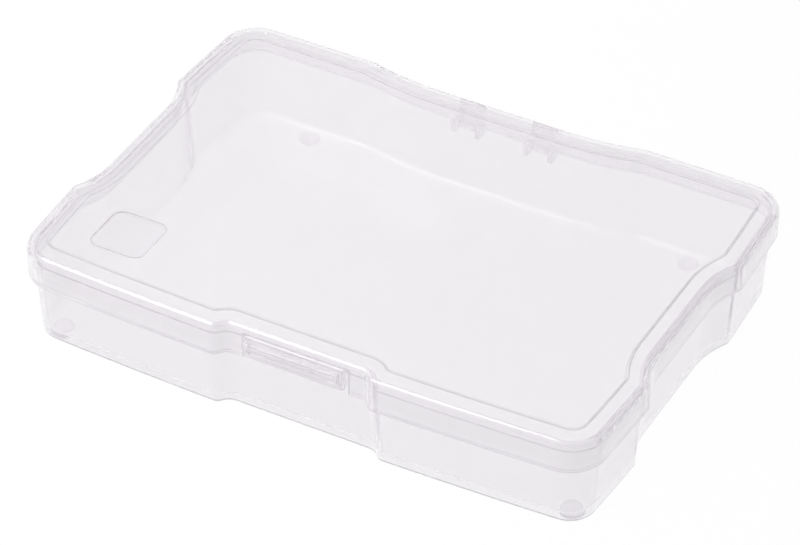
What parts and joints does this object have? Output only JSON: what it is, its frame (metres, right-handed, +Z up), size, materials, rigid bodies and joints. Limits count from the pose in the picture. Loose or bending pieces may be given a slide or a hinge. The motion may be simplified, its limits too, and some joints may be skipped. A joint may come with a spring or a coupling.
{
  "type": "photo keeper case",
  "caption": "Shallow clear plastic case for small photo prints: a tray with a hinged overlapping lid, finger grips in both ends and a snap latch tab in a front recess.",
  "frame": {"origin": "centre of the closed case's footprint, at the surface it stands on", "axes": "+X along the length, -Y towards the latch, +Z up"},
  "size_m": [0.169, 0.12, 0.0291],
  "materials": {
    "clear_tray": "natural translucent polypropylene, smooth moulded gloss",
    "clear_lid": "natural translucent polypropylene, smooth moulded gloss",
    "frosted_plate": "the same plastic with a fine frosted texture"
  },
  "bodies": {
    "tray": {"base_tray": "clear_tray", "base_feet": "clear_tray", "base_catch": "clear_tray", "hinge_ears": "clear_tray", "hinge_pins": "clear_tray"},
    "lid": {"lid_cover": "clear_lid", "lid_plate": "frosted_plate", "hinge_clips": "clear_lid"},
    "latch": {"latch_tab": "clear_lid", "latch_hook": "clear_lid"}
  },
  "joints": [
    {"name": "lid_hinge", "type": "hinge", "parent": "tray", "child": "lid", "pos_m": [0, 0.0583, 0.0186], "axis": [-1, 0, 0], "range_deg": [0, 135]},
    {"name": "latch_flex", "type": "hinge", "parent": "lid", "child": "latch", "pos_m": [0, -0.0572, 0.0262], "axis": [-1, 0, 0], "range_deg": [0, 12], "stiffness_Nm_per_rad": 0.02}
  ]
}
